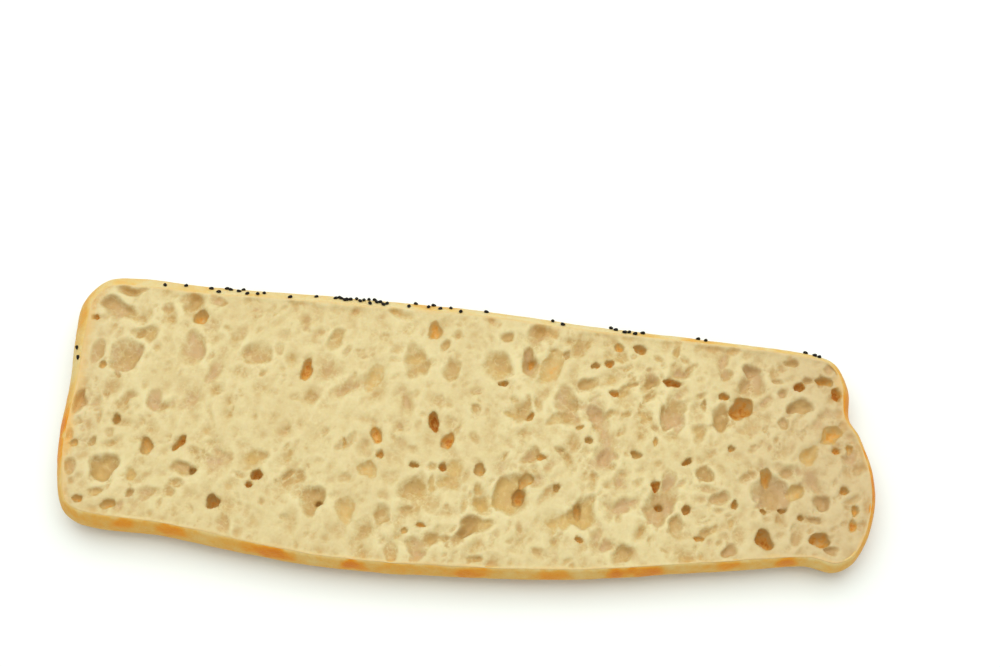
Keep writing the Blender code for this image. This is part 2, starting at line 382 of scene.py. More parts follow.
def relief(rings, side):
    """The outer skin pushed in and out along its outward way by its swelling, which fades to the base."""
    outer = np.zeros(len(rings))
    first = INNER_RINGS + RIM_RINGS
    outer[first:first + CROWN_RINGS + FOOT_RINGS] = 1
    outer[first - len(RIM_SWELL):first] = RIM_SWELL
    swell = swelling(rings) * outer[:, None] * eased(rings[..., 2], 0, SWELL_FADE)
    rings[..., :2] += side[None] * swell[..., None]
    return rings


def bake(rings, side, top):
    """How far the skin is baked, from 0, cream, through golden at 0.5 to 1, orange brown. Each side of the
    loaf has its own browning and blotches, shared out by the square of how far a point faces that side."""
    facing = {"near": -side[:, 1], "right": side[:, 0], "far": side[:, 1], "left": -side[:, 0]}
    down = top[None] - rings[..., 2]
    uneven = 0.6 * smooth_noise(rings, 9, 21) + 0.4 * smooth_noise(rings, 3.5, 22)
    baked = np.zeros(down.shape)
    for name, (start, end, golden) in BROWNING.items():
        share = np.clip(facing[name], 0, 1)[None] ** 2
        along = rings[..., 0] if name in ("near", "far") else rings[..., 1]
        level = golden * eased(down + BAKE_WANDER * uneven, start, end) * (1 + GOLD_CHANGE * uneven)
        for middle, below, half_length, half_height, brown in BLOTCHES[name]:
            away = np.hypot((along - middle) / half_length, (down - below) / half_height)
            blotch = eased(BLOTCH_REACH - away + BLOTCH_FRAY * uneven, 0, 1.1)
            level = level + (brown - level) * blotch
        baked += share * level
    under = eased(WIDEST_HEIGHT / 2 - rings[..., 2], 0, WIDEST_HEIGHT / 2)
    return np.clip(baked * (1 - under) + (BASE_BAKE + BASE_CHANGE * uneven) * under, 0, 1)


def crust_finish():
    """Dry baked skin: cream to golden to orange brown, mottled, freckled and finely pored. Low on the sides
    it is paler and pinker, partly from flour rubbed into it and partly as painted light bounced up from the
    floor, and loose flour lies on it in fine grains."""
    finish = Finish("crust", Specular_IOR_Level=0.12, Subsurface_Weight=0.12, Subsurface_Scale=0.5 * MM)
    finish.shader.inputs["Subsurface Radius"].default_value = (1.0, 0.5, 0.25)
    mottle = finish.noise(5.0, 4.0)
    freckle = finish.noise(1.1, 3.0)
    level = finish.value("bake") + (mottle - 0.5) * 0.5 + (freckle - 0.5) * 0.2
    stops = [
        (0.0, (0.70, 0.585, 0.29)), (0.25, (0.71, 0.50, 0.165)), (0.5, (0.71, 0.39, 0.072)),
        (0.75, (0.74, 0.295, 0.02)), (1.0, (0.68, 0.21, 0.01)),
    ]
    colour = finish.add("ShaderNodeValToRGB", {"stops": stops}, {0: level}, "Color")
    flour = finish.value("flour")
    # Paler, pinker wash low on the side: flour rubbed in, and painted light bounced up from the floor.
    colour = finish.mix(colour, (0.76, 0.57, 0.38), flour * 0.4)
    grains = finish.step(finish.noise(1.6, 4.0), 0.54, 0.64)
    colour = finish.mix(colour, (0.90, 0.86, 0.76), grains * flour * 0.7)
    pores = finish.add("ShaderNodeTexVoronoi", {}, {"Vector": finish.place, "Scale": 1 / 1.3}, "Distance")
    normal = finish.bump(mottle, 0.5)
    normal = finish.bump(finish.step(pores, 0.1, 0.6) * 0.5 + freckle, 0.25, normal)
    return finish.feed(Base_Color=colour, Roughness=0.62 - level * 0.15, Normal=normal)


def make_crust():
    """Joins the rings by bands of faces, and closes the inner floor and the base at a point each."""
    rings, side, top = crust_rings()
    baked = bake(rings, side, top)
    rings = relief(rings, side)
    # The low band: flour, and painted light bounced up from the floor.
    low = eased(FLOUR_AND_BOUNCE_HEIGHT - rings[..., 2], 0, FLOUR_AND_BOUNCE_FADE)
    flour = low * (0.5 + 0.5 * eased(smooth_noise(rings, 22, 31), 0.0, 0.6))
    count, around = rings.shape[:2]
    number = np.arange(count * around).reshape(count, around)
    ahead = np.roll(number, -1, axis=1)
    walls = np.stack([number[:-1], number[1:], ahead[1:], ahead[:-1]], axis=-1).reshape(-1, 4)
    inner_pole, base_pole = count * around, count * around + 1
    floor = np.stack([np.full(around, inner_pole), number[0], ahead[0]], axis=1)
    base = np.stack([number[-1], np.full(around, base_pole), ahead[-1]], axis=1)
    poles = np.array([(0, 0, CRUST_THICKNESS), (0, 0, BASE_HOLLOW)])
    points = np.concatenate([rings.reshape(-1, 3), poles])
    values = {
        "bake": np.append(baked.ravel(), [0.5, 0.6]),
        "flour": np.append(flour.ravel(), [0, 0]),
    }
    return add_piece("crust", points, [walls, floor, base], crust_finish(), values)


make_crust()


# The crumb is the open inside of the loaf that the knife laid bare: moist, pale dough full of bubbles, from
# broad shallow cups to small deep holes that widen below their mouths. It is one closed body that fills the
# crust, and its cut face is one grid that the bubbles hollow out.

CRUMB_COLUMNS = 524
CRUMB_ROWS = 176
CRUMB_CORNERS = [(-189, -57.5), (193.5, -43), (182, 58), (-191, 66)]
CRUMB_EDGE_STEPS = 6000
CRUMB_INSET = 0.9
CRUMB_RIM_INSET = 0.1
CRUMB_SHOULDER = 0.25
CRUMB_LENGTH = 395
CRUMB_WIDTH = 125
CRUMB_BASE = 1.2
CRUMB_WALL_SHARES = [0.93, 0.5, 0.0]

# Broad cups that the knife opened: x and y of the middle, long and short half-width of the mouth, the turn
# of the long way from +X in degrees, and the depth.
CUPS = [
    (-176, 58, 9, 4.5, 0, 3), (-181, 47, 9, 5, -15, 4), (-164, 36, 7, 5, 20, 3), (-172, 23, 10, 8.5, 60, 5),
    (-139, 30, 10, 6.5, 95, 4), (-107, 31, 8, 6.5, 20, 3.5), (-172, -35, 8, 7, 20, 5),
    (-133, -32, 6, 4.5, 10, 3), (-70, 41, 7, 3.5, 60, 3), (-37, 59, 6.5, 3.5, -5, 3),
    (-27, 36, 11, 6, 105, 5), (-9, 33, 6.5, 4.5, 115, 4), (-17, -31, 10, 9, 0, 4),
    (-69, -40, 8.5, 6, 80, 6), (-34, -45, 5.2, 4.2, 100, 4), (-15, -58, 6, 4.5, 0, 3),
    (13, 38, 10, 8, 110, 4), (29, 41, 9, 4.5, 95, 4), (50, 21, 12, 6.5, 100, 4), (60, 34, 5.5, 4, 0, 4),
    (26, 15, 7, 6, 0, 3), (102, 22, 9, 5.5, 85, 4), (27, -28, 11.5, 9, 80, 6), (62, -33, 8, 6.5, 90, 4.5),
    (10, -45, 8.5, 5.5, 10, 4), (99, -25, 12.5, 7.5, 80, 5), (82, -51, 5.5, 4, 20, 3),
    (126, 21, 7, 4.5, 95, 4), (164, 31, 7, 3.6, 5, 4), (151, -14, 12.5, 8.5, 105, 5),
    (175, -16, 5.5, 5, 0, 4), (118, -8, 5.5, 3.5, 5, 3),
    (107, -35, 6.5, 4, 95, 3), (126, -19, 6, 4.5, 30, 3), (138, 48, 5, 3.5, 0, 3), (134, -44, 5, 3, 50, 3),
    (-174, 12.5, 3, 1.5, -40, 2), (-164, 3.5, 3.5, 2, 0, 1.2), (-165, -11, 6, 3, 0, 1.2),
    (-179.5, -24, 3.2, 1.8, 70, 2), (-188, -37, 4.2, 3.4, 80, 2.5), (-174, -48, 3.6, 2, 20, 2),
    (-156, -45.5, 2.6, 2.1, 60, 2.5), (-157, -37, 3.3, 3, 0, 1.8), (-134, -40, 4.2, 2.4, 15, 2),
    (-125, -2, 5.5, 2, 105, 1.2), (-112, -24, 4.2, 3, -10, 1.3), (-123, -25, 4.2, 3, 0, 1.3),
    (-105, -31.5, 3.3, 2, 0, 1.5), (-118, 5, 4, 3, 0, 1), (-189, -3, 6, 3.5, 85, 3),
    (-96, -21, 3.6, 2.5, 0, 1.5),
    (-131, 55.5, 4, 2.4, -10, 2.5), (-44, 46, 3.2, 3, 0, 1.8), (-14, 46, 4.3, 2, 60, 2.5),
    (-96, 34, 4, 2.5, 80, 1.5), (-6, 5, 4, 3.2, 0, 1.2), (-13, -17, 2.6, 2, 0, 1.8),
    (-11, -25, 4.5, 1.8, 100, 2),
    (-81, -51.5, 2.9, 2.1, 0, 1.6), (-55, -28, 4, 2.5, 0, 2), (-82, -29, 3.6, 1.5, 50, 2),
    (-34, -35, 3.7, 3.4, 0, 1.4), (46, 46, 3.2, 2.3, 60, 2.5), (17, 54.5, 4, 3, 0, 2),
    (4.5, 13, 3, 2.5, 80, 2),
    (79, 25, 7.5, 5.5, 90, 1.5), (12, -61.5, 4.2, 1.7, 0, 2), (47, -3.5, 3.2, 2, 0, 1.8),
    (167, 44.5, 2.6, 2, 0, 2.5), (157.5, 55, 4.2, 2, -5, 3), (152, 44.5, 3.2, 2, 0, 2),
    (155, 38, 3.1, 2.4, 80, 2),
    (156, 22, 3.8, 3, 80, 2), (119, -15, 7.2, 2.5, 5, 1.4), (116, 27, 4, 2, 90, 2), (115, 13, 5.3, 4, 80, 2),
    (125, 46, 3.7, 3.4, 0, 1.8), (182, -40, 3.7, 3, 0, 2.5), (173, -25.5, 4, 1.6, -5, 2.5),
]

# Deep holes, with the same sizes, where the depth is the one that the hole seems to have. They are larger
# below than at the mouth.
HOLES = [
    (-138, 47.5, 4.2, 3.8, 0, 8), (-153, -22, 4.6, 3, 95, 8), (-137, -19, 4.6, 2, 65, 8),
    (-166, -53, 4, 2.3, 25, 6), (-116, -46.5, 3.6, 3.3, 0, 11), (-97, -31, 2.9, 2.6, 0, 12),
    (-20, 52.5, 5, 3.4, 95, 7), (-47, 24.5, 8, 4.2, 70, 8), (-81, 25, 6, 2.8, 80, 9),
    (-15, 5, 4.8, 2.6, 110, 11),
    (-7, -4, 4.6, 2.8, 65, 7), (-42, -5, 4.5, 2.6, 120, 6), (-44, -22.5, 4.8, 4.4, 0, 7),
    (-52, -43.5, 7, 4.7, 100, 8), (40, 40, 9.5, 5.6, 80, 9), (83, 53.5, 3.5, 2.2, -10, 7),
    (100, 37.5, 4.6, 2, -5, 9), (10, -17, 3.3, 2.8, 90, 7), (33, -19, 4, 2.6, 0, 7),
    (135, 28, 6.4, 5.5, 60, 12), (163, 42, 3, 2.2, 20, 9), (175, 46.5, 4.5, 2.2, 10, 7),
    (181, 40, 3.4, 2.2, 100, 8), (180, 19.5, 5, 4.4, 40, 9),
    (169, 7, 5.6, 4.2, 60, 8), (163, -12, 4.7, 3.9, 60, 8), (149, -37, 5.3, 3.9, 110, 12),
    (175.5, -34.5, 5, 3.7, 10, 11),
    (-190, 41.5, 1.5, 1.3, 0, 4), (-182, 17, 2.1, 1.9, 0, 4), (-170, -10, 2.6, 1.8, 90, 7),
    (-188, -24.5, 2, 1.9, 0, 4), (-181, -52, 2.4, 2.1, 0, 5), (-128.5, -32, 1.9, 1.8, 0, 6),
    (-100, -36.5, 1.7, 1.5, 0, 6), (-39, -14.5, 1.9, 1.7, 0, 6), (-22, -18, 2.3, 1.5, 0, 6),
    (-8, -17.5, 2.3, 1.7, 100, 7), (-65.5, -41.5, 1.7, 1.5, 0, 6), (-22.5, -51, 1.7, 1.5, 0, 4),
    (-15, -47.5, 2.5, 1.1, -10, 4), (-57, -10.5, 2.5, 0.9, 95, 3), (29.5, 41, 2.5, 1.8, 90, 5),
    (17, 28.5, 2.5, 1.5, 10, 6), (61.5, 42.5, 2.1, 1.6, 20, 6), (68.5, 44.5, 2.3, 2.1, 0, 5),
    (72.5, 53.5, 2.5, 2.2, 0, 4), (72, 29, 2.6, 1.6, -10, 5), (32, 12.5, 2.5, 1.5, 60, 5),
    (85, -1.5, 2.9, 1.9, -20, 6), (61.5, 3.5, 2.1, 1.7, 0, 5), (56.5, 9.5, 1.9, 1.2, 20, 4),
    (30, -28, 4.3, 3.4, 70, 9), (39, -7.5, 2.2, 1.8, 0, 5), (48, -22, 2, 1.6, 90, 5),
    (59, -32, 4, 1.8, 90, 5),
    (61, -46.5, 2.2, 1.3, -20, 4), (95.5, -16, 2.5, 2.1, 90, 7), (98, -25.5, 1.9, 1.7, 0, 7),
    (94, 6, 2.5, 1.1, 90, 3), (126, 33, 2.6, 1.9, 0, 7), (188.5, 12.5, 2.3, 1.8, 90, 4),
    (182, 11, 2, 1.9, 0, 5),
    (131, 6.5, 1.8, 1.5, 0, 4), (110, -2.5, 2.6, 1.5, 40, 7), (148.5, -5.5, 4.4, 2.8, 100, 7),
    (148, -23, 1.7, 1.5, 0, 5), (157, -21.5, 2.2, 1.5, 10, 6), (186.5, -9, 2.2, 2.1, 0, 5),
    (166, -24.5, 1.7, 1.4, 90, 5), (192, -18, 2.4, 1.8, 80, 4), (191, -26, 3.2, 2, 90, 4),
    (111, -26.5, 2.5, 2, 90, 8), (134, -21.5, 2.3, 1.5, 90, 6), (118, -40, 2.6, 1.4, 0, 4),
]

# The foam between these is three layers of bubbles on top of each other, broad, middling and small. Each
# layer has the least and the most mean half-width, how many places are tried, the depth as a share of the
# half-width, how far a ridge between two bubbles is softened, and the depth at which its painted shade is
# full.
LAYERS = {
    "broad": (5.0, 10.0, 900, 0.26, 1.0, 4.0),
    "middling": (2.0, 5.5, 4500, 0.38, 0.6, 1.8),
    "small": (0.9, 2.0, 7000, 0.45, 0.25, 0.8),
}
# How dark each layer paints its cups at full depth: painted shade in the hollows, darker the deeper the
# bubble.
LAYER_SHADE = {"broad": 0.75, "middling": 0.65, "small": 0.55}
BROAD_FROM = 4.4
FILLER_DRAW = 5
PACKING = 0.72

# A bubble this deep for its half-width has a wholly crisp rim, and shallower ones have softer rims. It is
# deeper to one side by this share.
CRISP_DEPTH = 0.6
BUBBLE_LEAN = 0.4

# A deep hole's mouth is this share of the angle of the ellipsoid that its depth gives, and no more than so
# many degrees. Its lip bends down by a share of its half-width, and ends at this many half-widths.
MOUTH_SHARE = 0.76
MOUTH_MOST = 100
LIP_SHARE = 0.12
LIP_REACH = 1.5

# A hole is opened to a share of its depth, and a wide one to less of it unless it is very deep. Wide starts
# and ends at these mean half-widths, and very deep at these depths.
DEPTH_SHARE = 0.75
WIDE_LESS = 0.38
WIDE = (3.4, 5.0)
VERY_DEEP = (8, 12)

# Points are drawn in to a hole's mouth from this mean half-width, within these shares of the hole's own, and
# points up to so many shares further out follow.
DRAWN_FROM = 3.0
DRAWN_SHARES = (1.5, 2.1)
FOLLOW_SHARE = 1.1

# Painted shade and glow down a hole, darker and more orange brown with depth, where little light gets in and
# light scattered through the crumb turns orange: how strong it is at the bottom, with more for each
# millimetre of depth, and the share of that at its mouth. A wide hole is painted paler, and would get as much
# as a narrow one only at this depth.
HOLE_SHADE = 0.55
HOLE_SHADE_PER_MM = 0.04
HOLE_SHADE_AT_MOUTH = 0.4
WIDE_HOLE_SHADE_DEPTH = 16

# The dough was drawn out as it rose: soft noise moves everything in the foam, with the size of its patches
# and how far it moves them, and a web of soft strands crosses it, with the size of its meshes and how proud
# they stand. The strands lie along the slant, in degrees from +X, and are stretched along it.
WARPS = [(14, 1.6), (5, 0.7)]
STRANDS = [(11, 0.34), (5.5, 0.18)]
SLANT = 68
STRETCH = 1.6


def crumb_edges():
    """The crumb's edge as four sides, each as distances round the cut's edge, spaced evenly. Also those
    distances for a fine outline, with its points, its outward way and the height of the cut there."""
    curve = widest_outline(CRUMB_EDGE_STEPS)
    side = outward(curve)
    edge, top = cut_edge(curve, side)
    corners = [int(np.argmin(np.hypot(*(curve - corner).T))) for corner in CRUMB_CORNERS]
    way_round = np.concatenate([[0], np.cumsum(np.hypot(*np.diff(np.vstack([edge, edge[:1]]), axis=0).T))])
    sides = []
    for start, end, count in zip(corners, corners[1:] + corners[:1], (CRUMB_COLUMNS, CRUMB_ROWS) * 2):
        stop = way_round[end] + (way_round[-1] if end <= start else 0)
        sides.append(np.linspace(way_round[start], stop, count) % way_round[-1])
    return sides, way_round, curve, side, top


def on_outline(reach, way_round, values):
    """The outline's values at given distances round it."""
    closed = np.concatenate([values, values[:1]])
    if closed.ndim == 1:
        return np.interp(reach, way_round, closed)
    return np.stack([np.interp(reach, way_round, column) for column in closed.T], axis=1)


def patch(near, right, far, left):
    """The even patch between four sides: the way across plus the way up, less the corners' share."""
    u = np.linspace(0, 1, len(near))[:, None, None]
    v = np.linspace(0, 1, len(right))[None, :, None]
    across = near[:, None] * (1 - v) + far[:, None] * v
    up = left[None] * (1 - u) + right[None] * u
    corners = (near[0] * (1 - u) + near[-1] * u) * (1 - v) + (far[0] * (1 - u) + far[-1] * u) * v
    return across + up - corners


def local(x, y, bubble):
    """Each point as seen from a bubble: distance as a share of its half-widths, and the way to the point."""
    middle_x, middle_y, long_half, short_half, turn = bubble[:5]
    cos, sin = math.cos(math.radians(turn)), math.sin(math.radians(turn))
    along = ((x - middle_x) * cos + (y - middle_y) * sin) / long_half
    across = ((y - middle_y) * cos - (x - middle_x) * sin) / short_half
    return np.hypot(along, across), np.arctan2(across, along)


def wobble(way, draw):
    """How uneven a bubble's mouth is: two, three and five soft corners, from a draw of numbers."""
    turn = 2 * math.pi * draw
    return (
        1 + 0.12 * draw[1] * np.sin(2 * way + turn[0]) + 0.14 * draw[3] * np.sin(3 * way + turn[2])
        + 0.05 * np.sin(5 * way + turn[4])
    )


def blurred(field, cells):
    """The mean over a square of that half-width in cells, taken three times, close to a bell curve."""
    for axis in (0, 1, 0, 1, 0, 1):
        widths = [(cells + 1, cells) if axis == which else (0, 0) for which in (0, 1)]
        total = np.cumsum(np.pad(field, widths, mode="edge"), axis=axis)
        length = field.shape[axis]
        first = np.arange(length)
        field = (np.take(total, first + 2 * cells + 1, axis) - np.take(total, first, axis)) / (2 * cells + 1)
    return field


def open_hole(flat, shift, sunk, hole_shade_and_glow, hole, draw):
    """Opens a deep hole in the grid. Points near it are drawn in, so that the mouth has more of them.
    Inside the mouth the angle from the lowest point grows evenly to the mouth's. Sideways goes as its sine
    and depth as its cosine, so past a right angle the wall hangs over. Its painted shade and glow says how
    much darker and more orange brown its wall is painted, standing in for shade and for light scattered
    through the
    crumb: most at the bottom, and less in a wide hole, which is also shallower unless it is very deep."""
    long_half, short_half, turn, depth = hole[2:]
    mean_half = math.sqrt(long_half * short_half)
    wide = eased(mean_half, *WIDE)
    paler = 1 - wide * (1 - depth / WIDE_HOLE_SHADE_DEPTH)
    strength = paler * (HOLE_SHADE + HOLE_SHADE_PER_MM * depth) * (0.7 + 0.5 * draw[5])
    depth = depth * (DEPTH_SHARE - WIDE_LESS * wide * (1 - eased(depth, *VERY_DEEP)))
    mouth_source = float(np.clip(DRAWN_FROM / mean_half, *DRAWN_SHARES))
    far_source = mouth_source + FOLLOW_SHARE
    x, y = flat[..., 0], flat[..., 1]
    near = np.hypot(x - hole[0], y - hole[1]) < far_source * long_half * 1.3
    away, way = local(x[near], y[near], hole)
    uneven = wobble(way, draw)
    source = away / uneven
    inside = source < mouth_source
    following = far_source + (source - far_source) * (far_source - 1) / (far_source - mouth_source)
    t = np.where(inside, source / mouth_source, following)
    t = np.where(source < far_source, t, source)
    mouth = min(math.radians(MOUTH_MOST), MOUTH_SHARE * 2 * math.atan(depth / mean_half))
    angle = mouth * np.minimum(t, 1)
    bulge = np.where(inside, np.sin(angle) / math.sin(mouth), t)
    cos, sin = math.cos(math.radians(turn)), math.sin(math.radians(turn))

    def placed(reach):
        along = reach * uneven * np.cos(way) * long_half
        across = reach * uneven * np.sin(way) * short_half
        return np.stack([hole[0] + along * cos - across * sin, hole[1] + along * sin + across * cos], axis=-1)

    shift[near] += placed(bulge) - placed(t)
    flat[near] = placed(t)
    drop = depth * (np.cos(angle) - math.cos(mouth)) / (1 - math.cos(mouth))
    lip = LIP_SHARE * mean_half * (1 - eased(t, 1, LIP_REACH))
    sunk[near] += np.where(inside, drop, 0) + lip
    share = HOLE_SHADE_AT_MOUTH + (1 - HOLE_SHADE_AT_MOUTH) * drop / depth
    hole_shade_and_glow[near] += np.where(inside, strength * share, 0)


def hollow(x, y, bubbles, blend):
    """Depth of shallow bubbles, and the tint of the deepest one at each place. From its middle a bubble's
    depth falls off as (1 - r^2)^2, which leaves a soft rim, passing into 1 - r^3, which leaves a crisp one,
    the deeper it is. Where two meet the deeper one wins, with the ridge between them softened."""
    depth = np.zeros(x.shape)
    tint = np.zeros(x.shape)
    draws = np.random.default_rng(FILLER_DRAW).random((len(bubbles), 6))
    for bubble, draw in zip(bubbles, draws):
        deepest = bubble[5]
        near = np.hypot(x - bubble[0], y - bubble[1]) < bubble[2] * 1.5
        away, way = local(x[near], y[near], bubble)
        away = away / wobble(way, draw)
        crisp = min(deepest / math.sqrt(bubble[2] * bubble[3]) / CRISP_DEPTH, 1.0)
        inner = 1 - away**2
        soft_fall = inner * np.abs(inner)
        lean = 1 + BUBBLE_LEAN * np.minimum(away, 1) * np.cos(way - 2 * math.pi * draw[0])
        own = deepest * lean * (soft_fall * (1 - crisp) + (1 - away**3) * crisp)
        old = depth[near]
        soften = min(blend, 0.7 * deepest)
        share = np.clip(0.5 + 0.5 * (own - old) / soften, 0, 1)
        depth[near] = old + (own - old) * share + soften * share * (1 - share)
        tint[near] += (draw[5] * 2 - 1 - tint[near]) * share
    return depth, tint


def mean_sizes(bubbles):
    """Each bubble's place and mean half-width."""
    return np.array([(x, y, math.sqrt(a * b)) for x, y, a, b, *_ in bubbles]).reshape(-1, 3)


def layer_bubbles(edge_grid, named, keep_off, least, most, tries, depth_share):
    """One layer of foam: its named cups, and between them bubbles at drawn places on the grid. A place is
    skipped where it would fall in a hole to keep off, or cover too much of a bubble that is there already.
    Most bubbles are faint: the depth goes with the square of a draw."""
    draw = random.Random(FILLER_DRAW)
    keep_off = mean_sizes(keep_off)
    taken = np.zeros((len(named) + tries, 3))
    taken[:len(named)] = mean_sizes(named)
    count = len(named)
    drawn = []
    for _ in range(tries):
        x, y = edge_grid[int(draw.uniform(0, CRUMB_COLUMNS)), int(draw.uniform(0, CRUMB_ROWS))]
        mean_half = least + (most - least) * draw.random() ** 1.6
        stretch = draw.uniform(1.0, 1.5)
        turn = draw.gauss(SLANT, 35)
        ratio = 0.25 + 1.15 * draw.random() ** 2
        if (np.hypot(keep_off[:, 0] - x, keep_off[:, 1] - y) < keep_off[:, 2] + 0.5 * mean_half).any():
            continue
        there = taken[:count]
        if (np.hypot(there[:, 0] - x, there[:, 1] - y) < PACKING * (there[:, 2] + mean_half)).any():
            continue
        taken[count] = x, y, mean_half
        count += 1
        drawn.append((x, y, mean_half * stretch, mean_half / stretch, turn, mean_half * depth_share * ratio))
    return named + drawn


def openness(level):
    """How open the crumb is: denser and smoother left of the middle, most open towards the right end."""
    ends = np.maximum(eased(level[..., 0], -90, 60), eased(-level[..., 0], 120, 175) * 0.8)
    return 0.65 + 0.35 * ends + 0.3 * smooth_noise(level, 31, 43) + 0.15 * eased(level[..., 0], 90, 180)


def warped(level):
    """The places moved by broad and fine noise, so that the bubbles drawn at them come out uneven."""
    moved = level.copy()
    for number, (size, reach) in enumerate(WARPS):
        for axis in (0, 1):
            moved[..., axis] += reach * smooth_noise(level, size, 51 + 2 * number + axis)
    return moved


def slanted(level):
    """The places measured along and across the slant. The long way is squeezed, which draws noise out."""
    cos, sin = math.cos(math.radians(SLANT)), math.sin(math.radians(SLANT))
    along = (level[..., 0] * cos + level[..., 1] * sin) / STRETCH
    across = level[..., 1] * cos - level[..., 0] * sin
    return np.stack([along, across, level[..., 2]], axis=-1)


def strands(level):
    """A web of soft strands: each lies where noise crosses 0, and falls off to its sides by a power of 6."""
    web = np.zeros(level.shape[:2])
    for number, (size, proud) in enumerate(STRANDS):
        noise = smooth_noise(slanted(level), size, 61 + number)
        web = np.maximum(web, proud * (1 - np.abs(noise)) ** 6)
    return web


def foam(level, edge_grid):
    """Depth, painted cup shade and tint of the foam: broad swells, the layers of bubbles added up, and
    strands on top, which take the painted shade off where they stand. The small bubbles lie in patches, and
    the rest everywhere."""
    moved = warped(level)
    share_open = openness(level)
    patches = smooth_noise(slanted(level), 11, 45) + 0.6 * smooth_noise(level, 4.5, 46)
    depth = 0.4 + 0.5 * smooth_noise(level, 37, 41) + 0.25 * smooth_noise(level, 13, 42)
    tan, tint = np.zeros(depth.shape), np.zeros(depth.shape)
    named = {
        "broad": [cup for cup in CUPS if cup[2] * cup[3] >= BROAD_FROM**2],
        "middling": [cup for cup in CUPS if cup[2] * cup[3] < BROAD_FROM**2],
        "small": [],
    }
    for name, (least, most, tries, depth_share, blend, full) in LAYERS.items():
        keep_off = [] if name == "small" else HOLES
        bubbles = layer_bubbles(edge_grid, named[name], keep_off, least, most, tries, depth_share)
        own, own_tint = hollow(moved[..., 0], moved[..., 1], bubbles, blend)
        own = own * share_open * (eased(patches, -0.25, 0.7) if name == "small" else 1)
        depth = depth + own
        # Painted shade: the cups are painted darker the deeper each bubble is.
        tan = 1 - (1 - tan) * (1 - LAYER_SHADE[name] * np.clip(own / full, 0, 1))
        tint = tint + own_tint * LAYER_SHADE[name]
    web = strands(level)
    return depth - web, tan * (1 - 2 * web), tint


def crumb_walls(sides, way_round, curve, side, top):
    """The rings of the crumb's hidden wall, which follow the crust's inside down to the crumb's flat base."""
    reach = np.concatenate([one[:-1] for one in sides])
    ring_curve, ring_side, ring_top = (on_outline(reach, way_round, values) for values in (curve, side, top))
    rings = []
    for share in CRUMB_WALL_SHARES:
        height = CRUMB_BASE + (ring_top - CRUMB_BASE) * share
        inset = side_inset(height) + CRUMB_INSET
        rings.append(np.column_stack([ring_curve - ring_side * inset[:, None], height]))
    return rings


def crumb_faces(ring_count):
    """The faces of the cut, of the bands of wall below it, and of the base, which meet in one last point."""
    number = np.arange(CRUMB_COLUMNS * CRUMB_ROWS).reshape(CRUMB_COLUMNS, CRUMB_ROWS)
    loop = np.concatenate([number[:-1, 0], number[-1, :-1], number[:0:-1, -1], number[0, :0:-1]])
    around = len(loop)
    loops = [loop, *(number.size + np.arange(ring_count * around).reshape(ring_count, around))]
    walls = [
        np.stack([upper, lower, np.roll(lower, -1), np.roll(upper, -1)], axis=1)
        for upper, lower in zip(loops, loops[1:])
    ]
    last = np.full(around, number.size + ring_count * around)
    base = np.stack([np.roll(loops[-1], -1), loops[-1], last], axis=1)
    return [quads(CRUMB_COLUMNS, CRUMB_ROWS), *walls, base]


